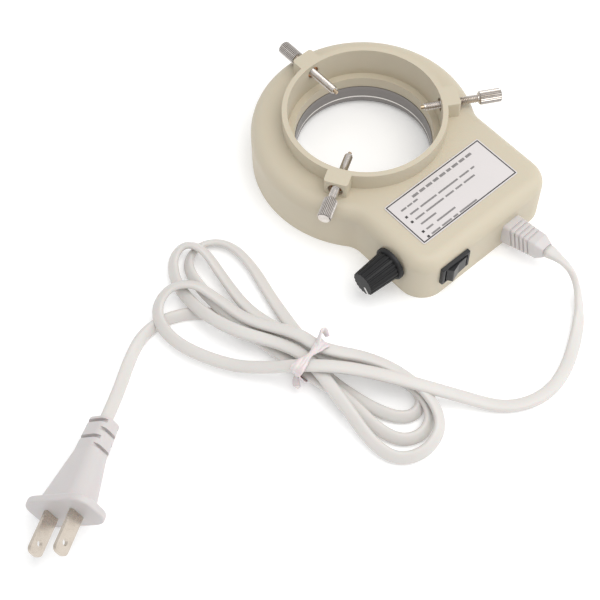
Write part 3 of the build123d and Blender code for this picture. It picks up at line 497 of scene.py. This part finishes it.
def settled(x, y, layers, roll):
    # a flat cord stacks lower than a round one, and slides back along the line of sight
    z = restHeight(roll) + layers * lead["layer"] * lead["stackShare"]
    drop = lead["tubeHeight"] + layers * lead["layer"] - z
    return x + lead["sightSlide"][0] * drop, y + lead["sightSlide"][1] * drop, z, roll


def lobeRows(lobe, layers):
    heading, reach, halfWidth, bend, roll = lobe
    for step, layer in enumerate(layers, 1):
        turn = step / (len(layers) + 1)
        out = math.sin(math.pi * turn) ** hank["reachPower"]
        swing = math.sin(2 * math.pi * turn)
        side = halfWidth * math.copysign(abs(swing) ** hank["widthPower"], swing)
        x, y = turned(reach * out, heading + bend * out)
        dx, dy = turned(side, heading + 2 * bend * out + 90)
        yield settled(hank["waist"][0] + x + dx, hank["waist"][1] + y + dy, layer, roll * out)


def waistRows(index):
    half = hank["waistRun"] / 2 if index % 2 == 0 else -hank["waistRun"] / 2
    for run, column, layer in zip((-half, half), hank["columns"][index], hank["layers"][index]):
        x, y = turned(column * lead["layer"], hank["heading"] - 90)
        dx, dy = turned(run, hank["heading"])
        yield settled(hank["waist"][0] + x + dx, hank["waist"][1] + y + dy, layer, 0)


def laidRow(x, y, z, roll):
    # a row given by height, put down like the rows that are given in layers
    return settled(x, y, (z - lead["tubeHeight"]) / lead["layer"], roll)


def leadRows():
    held, loose = lead["deviceRun"][:lead["heldRows"]], lead["deviceRun"][lead["heldRows"]:]
    rows = held + [laidRow(*row) for row in loose] + list(waistRows(0))
    for index, (lobe, layers) in enumerate(zip(hank["lobes"], hank["lobeLayers"]), 1):
        rows += list(lobeRows(lobe, layers))
        rows += list(waistRows(index))
    laid, raised = lead["plugRun"][:-lead["plugRows"]], lead["plugRun"][-lead["plugRows"]:]
    return rows + [laidRow(*row) for row in laid] + raised


def splinePoints(rows):
    # the smooth line, read from a NURBS spline whose control points are the rows
    curve = bpy.data.curves.new("leadRoute", "CURVE")
    curve.dimensions = "3D"
    curve.resolution_u = lead["steps"]
    spline = curve.splines.new("NURBS")
    spline.points.add(len(rows) - 1)
    for point, row in zip(spline.points, rows):
        point.co = (*row[:3], 1)
    spline.order_u = 3
    spline.use_endpoint_u = True
    holder = bpy.data.objects.new("leadRoute", curve)
    bpy.context.scene.collection.objects.link(holder)
    bpy.context.view_layer.update()
    mesh = bpy.data.meshes.new_from_object(holder)
    points = [v.co.copy() for v in mesh.vertices]
    bpy.data.objects.remove(holder)
    return points


def rollAt(rows, share):
    place = share * (len(rows) - 1)
    low = min(int(place), len(rows) - 2)
    return rows[low][3] + (rows[low + 1][3] - rows[low][3]) * smoothStep(place - low)


def cordFrame(points, index):
    # across and up, at a point of the line
    ahead = points[min(index + 1, len(points) - 1)] - points[max(index - 1, 0)]
    ahead.normalize()
    across = ahead.cross(Vector((0, 0, 1))).normalized()
    return across, across.cross(ahead)


def flatTube(name, points, rows, sizes):
    ring = []
    for index, point in enumerate(points):
        share = index / (len(points) - 1)
        across, upward = cordFrame(points, index)
        roll = math.radians(rollAt(rows, share))
        wide = across * math.cos(roll) + upward * math.sin(roll)
        thin = upward * math.cos(roll) - across * math.sin(roll)
        for a, b in superSection(*sizes(share), lead["power"], lead["around"]):
            ring.append(point + wide * a + thin * b)
    return meshFrom(name, ring, stitchRings(lead["around"], len(points)))


cordRows = leadRows()
cordPoints = splinePoints(cordRows)
cordLength = sum((b - a).length for a, b in zip(cordPoints, cordPoints[1:]))


def leadHalves(share):
    # thicker where the strain relief grips it
    grip = 1 - smoothStep(share * cordLength / lead["rootLength"])
    return [half / 2 + (root - half / 2) * grip
            for half, root in zip((lead["width"], lead["thickness"]), lead["root"])]


mainsLead = makeObject("mainsLead", flatTube("mainsLead", cordPoints, cordRows, leadHalves))
mainsLead.data.materials.append(leadFinish)
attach(mainsLead, "housing")
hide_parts("cord_device_lead", "cord_hank", "cord_plug_lead")
print("mains lead laid,", round(cordLength, 3), "m")


# the tie is a thin film wound round the waist, its ends twisted
tie = {"along": -0.0042, "clearance": 0.00035, "floorGap": 0.0010, "width": 0.0056, "pinch": 0.0021,
       "pinchAt": -0.0010, "pinchRun": 0.0042, "thickness": 0.0003, "around": 120, "rows": 13,
       "strandPower": 2.4, "strandAround": 28, "crease": 0.0009, "creaseSize": (3.1, 0.07, 3.1),
       "ridge": (5, 0.11), "ridgeShare": 0.35, "ragged": 0.25, "raggedRun": 0.16, "raggedSeed": 0.2}
# its two ends, each with its first twist and its path from where it leaves the band
tieTails = {
    "width": 0.0030, "thickness": 0.0012, "turns": 0.35, "around": 14, "power": 2.2, "steps": 8,
    "rootShare": 0.85, "tipFrom": 0.8, "tipLoss": 0.35, "ruffle": 0.25, "ruffleSize": (0.9, 0.35),
    "upper": {"twist": 0.2, "path": [
        (-0.0050, -0.0010, 0.0006), (-0.0025, 0.0007, 0.0010), (0.0001, 0.0024, 0.0018), (0.0022, 0.0036, 0.0022),
        (0.0035, 0.0033, 0.0008), (0.0036, 0.0018, -0.0012)]},
    "lower": {"twist": 1.7, "path": [
        (-0.0006, 0.0012, 0.0030), (-0.0020, 0.0006, 0.0022), (-0.0029, -0.0003, 0.0014),
        (-0.0039, -0.0019, 0.0010), (-0.0043, -0.0031, 0.0014)]}}


def waistHull():
    # outline of the gathered strands where the tie goes round them, as (across, z)
    spots = []
    side = Vector(turned(1, hank["heading"] - 90))
    strand = superSection(lead["width"] / 2 + tie["clearance"], lead["thickness"] / 2 + tie["clearance"],
                          tie["strandPower"], tie["strandAround"])
    for index, (columns, layers) in enumerate(zip(hank["columns"], hank["layers"])):
        share = 0.5 + tie["along"] / hank["waistRun"] * (1 if index % 2 == 0 else -1)
        column = columns[0] + (columns[1] - columns[0]) * share
        layer = layers[0] + (layers[1] - layers[0]) * share
        x, y, z, _ = settled(0, 0, layer, 0)
        middle = column * lead["layer"] + side.x * x + side.y * y
        for a, b in strand:
            spots.append(Vector((middle + a, max(z + b, tie["floorGap"]))))
    return [spots[i] for i in geometry.convex_hull_2d(spots)]


def evenly(outline, count):
    # points at equal steps along a closed outline
    lengths = [(outline[(i + 1) % len(outline)] - p).length for i, p in enumerate(outline)]
    total, spaced, segment, used = sum(lengths), [], 0, 0.0
    for step in range(count):
        place = total * step / count
        while used + lengths[segment] < place:
            used += lengths[segment]
            segment += 1
        a, b = outline[segment], outline[(segment + 1) % len(outline)]
        spaced.append(a.lerp(b, (place - used) / max(lengths[segment], 1e-9)))
    return spaced


def makeTie():
    hull = evenly(waistHull(), tie["around"])
    knot = max(hull, key=lambda p: p.y - abs(p.x - tie["pinchAt"]))
    across = Vector((*turned(1, hank["heading"] - 90), 0))
    along = Vector((*turned(1, hank["heading"]), 0))
    middle = Vector((*hank["waist"], 0)) + along * tie["along"]
    points, faces = [], []
    rows = tie["rows"]
    size, run, seed = tie["creaseSize"]
    for i, spot in enumerate(hull):
        near = math.exp(-((spot - knot).length / tie["pinchRun"]) ** 2)
        halfWidth = (tie["width"] + (tie["pinch"] - tie["width"]) * near) / 2
        before, after = hull[i - 1], hull[(i + 1) % len(hull)]
        tangent = (after - before).normalized()
        outward = Vector((tangent.y, -tangent.x))
        for row in range(rows):
            share = row / (rows - 1) * 2 - 1
            crease = abs(noise.noise(Vector((share * size, i * run, seed)))) + near * (1 - share ** 2)
            crease += abs(math.sin(share * tie["ridge"][0] + i * tie["ridge"][1])) * tie["ridgeShare"]
            ragged = tie["ragged"] * noise.noise(Vector((i * tie["raggedRun"], share, tie["raggedSeed"])))
            spread = halfWidth * share * (1 + ragged)
            lifted = spot + outward * crease * tie["crease"]
            points.append(middle + across * lifted.x + along * spread + Vector((0, 0, max(lifted.y, tie["floorGap"]))))
    count = len(hull)
    for i in range(count):
        for row in range(rows - 1):
            a, b = i * rows + row, (i + 1) % count * rows + row
            faces.append((a, a + 1, b + 1, b))
    ends = max(hull, key=lambda p: p.x + p.y), min(hull, key=lambda p: p.x + p.y)
    return points, faces, [middle + across * p.x + Vector((0, 0, p.y)) for p in ends]


def smoothPath(curve, steps):
    # a Catmull-Rom line through the points
    fine = []
    for i in range(len(curve) - 1):
        before, after = curve[max(i - 1, 0)], curve[min(i + 2, len(curve) - 1)]
        for step in range(steps):
            t = step / steps
            a, b = curve[i], curve[i + 1]
            fine.append(0.5 * (2 * a + (b - before) * t + (2 * before - 5 * a + 4 * b - after) * t ** 2
                               + (3 * a - before - 3 * b + after) * t ** 3))
    return fine + [curve[-1]]


def addTail(points, faces, root, tail):
    # a twisted, gathered strip that follows the path and narrows at its end
    fine = smoothPath([root + Vector(p) for p in tail["path"]], tieTails["steps"])
    start, around = len(points), tieTails["around"]
    sideways, onward = tieTails["ruffleSize"]
    rootShare, tipFrom = tieTails["rootShare"], tieTails["tipFrom"]
    for index, point in enumerate(fine):
        share = index / (len(fine) - 1)
        side, upward = cordFrame(fine, index)
        twist = tail["twist"] + share * tieTails["turns"] * 2 * math.pi
        pinch = rootShare + (1 - rootShare) * smoothStep(share * 2)
        pinch -= tieTails["tipLoss"] * smoothStep((share - tipFrom) / (1 - tipFrom))
        wide = side * math.cos(twist) + upward * math.sin(twist)
        thin = upward * math.cos(twist) - side * math.sin(twist)
        section = superSection(tieTails["width"] / 2 * pinch, tieTails["thickness"] / 2, tieTails["power"], around)
        for k, (a, b) in enumerate(section):
            ruffle = 1 + tieTails["ruffle"] * noise.noise(Vector((k * sideways, index * onward, tail["twist"])))
            points.append(point + wide * a * ruffle + thin * b * ruffle)
    faces += [tuple(start + v for v in face) for face in stitchRings(around, len(fine))]


tiePoints, tieFaces, (tieHigh, tieLow) = makeTie()
addTail(tiePoints, tieFaces, tieHigh, tieTails["upper"])
addTail(tiePoints, tieFaces, tieLow, tieTails["lower"])
twistTie = makeObject("twistTie", meshFrom("twistTie", tiePoints, tieFaces))
thicken = twistTie.modifiers.new("film", "SOLIDIFY")
thicken.thickness = tie["thickness"]
thicken.offset = 1
soften = twistTie.modifiers.new("soften", "SUBSURF")
soften.levels = soften.render_levels = 1
twistTie.data.materials.append(tieFinish)
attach(twistTie, "housing")
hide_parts("twist_tie")
print("twist tie wound")


# the label's print is a frame, bullets and plain bars
label = {
    "top": 0.02312, "raise": 0.00003, "frame": (-0.0237, -0.0602, 0.0279, -0.0380), "line": 0.00050,
    "bullet": 0.00110, "bar": 0.00080,
    "bullets": [(-0.0204, -0.0467), (-0.0203, -0.0498), (-0.0202, -0.0560), (-0.0202, -0.0590)],
    # x start, y, lengths of the bars, the gap between them, share of the bar's height
    "bars": [
        (-0.0118, -0.0411, (0.0031, 0.0028, 0.0030, 0.0027, 0.0030, 0.0022, 0.0031, 0.0028, 0.0030), 0.0009, 1.5),
        (-0.0200, -0.0432, (0.0028, 0.0026, 0.0024), 0.0006, 1.0),
        (-0.0184, -0.0467, (0.0046, 0.0088, 0.0108, 0.0052, 0.0020), 0.0011, 1.0),
        (-0.0184, -0.0498, (0.0048, 0.0096, 0.0045, 0.0036, 0.0060), 0.0011, 1.0),
        (-0.0184, -0.0529, (0.0082,), 0.0011, 1.0),
        (-0.0184, -0.0560, (0.0036, 0.0100), 0.0022, 1.0),
        (-0.0184, -0.0590, (0.0046, 0.0052, 0.0024, 0.0094), 0.0011, 1.0)]}


def printPatches(name, boxes, finish):
    # flat boxes just over the label's film
    points, faces = [], []
    z = label["top"] + label["raise"]
    for x0, y0, x1, y1 in boxes:
        start = len(points)
        points.extend([(x0, y0, z), (x1, y0, z), (x1, y1, z), (x0, y1, z)])
        faces.append((start, start + 1, start + 2, start + 3))
    piece = makeObject(name, meshFrom(name, points, faces), smooth=False)
    piece.data.materials.append(finish)
    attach(piece, "housing")


def makeLabelPrint():
    x0, y0, x1, y1 = label["frame"]
    t, half = label["line"], label["bullet"] / 2
    dark = [(x0, y0, x1, y0 + t), (x0, y1 - t, x1, y1), (x0, y0 + t, x0 + t, y1 - t), (x1 - t, y0 + t, x1, y1 - t)]
    dark += [(x - half, y - half, x + half, y + half) for x, y in label["bullets"]]
    printPatches("labelFrame", dark, inkFinish)
    pale = []
    for x, y, lengths, gap, share in label["bars"]:
        for length in lengths:
            pale.append((x, y - label["bar"] * share / 2, x + length, y + label["bar"] * share / 2))
            x += length + gap
    printPatches("labelBars", pale, paleInkFinish)


makeLabelPrint()
print("label printed")


studio = {"floor": {"half": 3.0, "color": (0.93, 0.93, 0.93), "glow": 0.17, "glowColor": (1, 1, 1), "grain": 0.001,
                    "roughness": 0.85, "spread": 0.03, "specular": 0.1},
          "world": (0.98, 0.99, 1.0), "worldStrength": 0.80,
          "key": {"place": (0.05, -0.20, 0.66), "size": 0.60, "power": 2.0, "color": (1.0, 0.985, 0.96)},
          "fill": {"place": (0.40, -0.42, 0.40), "size": 0.45, "power": 0.8, "color": (0.97, 0.985, 1.0)}}
view = {"place": (-0.246917, -0.247178, 0.453401), "azimuth": -40.36, "elevation": 58.659, "roll": -1.057,
        "lens": 79.34, "sensor": 36, "near": 0.01, "far": 20, "aim": (-0.05, -0.05, 0.0)}


def makeFloor():
    look = studio["floor"]
    half = look["half"]
    mesh = meshFrom("floor", [(-half, -half, 0), (half, -half, 0), (half, half, 0), (-half, half, 0)],
                    [(0, 1, 2, 3)])
    floor = makeObject("floor", mesh, smooth=False)
    finish, tree, shader, vector = startFinish("paperFloor")
    grain = placeGroup(tree, mouldGrain, vector, Grain_Size=look["grain"], Roughness=look["roughness"],
                       Roughness_Spread=look["spread"])
    tree.links.new(grain.outputs["Roughness"], shader.inputs["Roughness"])
    shader.inputs["Base Color"].default_value = (*look["color"], 1)
    shader.inputs["Emission Color"].default_value = (*look["glowColor"], 1)
    shader.inputs["Emission Strength"].default_value = look["glow"]
    shader.inputs["Specular IOR Level"].default_value = look["specular"]
    mesh.materials.append(finish)


def makeLight(name, look):
    lamp = bpy.data.lights.new(name, "AREA")
    lamp.shape = "DISK"
    lamp.size = look["size"]
    lamp.energy = look["power"]
    lamp.color = look["color"]
    holder = bpy.data.objects.new(name, lamp)
    bpy.context.scene.collection.objects.link(holder)
    holder.location = look["place"]
    aim = Vector(view["aim"]) - Vector(look["place"])
    holder.rotation_euler = aim.to_track_quat("-Z", "Y").to_euler()


def makeWorld():
    world = bpy.data.worlds.new("studioWorld")
    world.use_nodes = True
    back = world.node_tree.nodes["Background"]
    back.inputs["Color"].default_value = (*studio["world"], 1)
    back.inputs["Strength"].default_value = studio["worldStrength"]
    bpy.context.scene.world = world


def makeCamera():
    a, e, r = (math.radians(view[k]) for k in ("azimuth", "elevation", "roll"))
    back = Vector((math.sin(a) * math.cos(e), -math.cos(a) * math.cos(e), math.sin(e)))
    right = Vector((math.cos(a), math.sin(a), 0))
    upward = back.cross(right)
    side = right * math.cos(r) + upward * math.sin(r)
    top = upward * math.cos(r) - right * math.sin(r)
    lens = bpy.data.cameras.new("photoCamera")
    lens.lens = view["lens"]
    lens.sensor_width = view["sensor"]
    lens.clip_start, lens.clip_end = view["near"], view["far"]
    camera = bpy.data.objects.new("photoCamera", lens)
    bpy.context.scene.collection.objects.link(camera)
    camera.matrix_world = Matrix.Translation(view["place"]) @ Matrix((side, top, back)).transposed().to_4x4()
    bpy.context.scene.camera = camera


makeFloor()
makeLight("keyLight", studio["key"])
makeLight("fillLight", studio["fill"])
makeWorld()
makeCamera()
bpy.context.scene.view_settings.view_transform = "Standard"
print("studio and camera set")
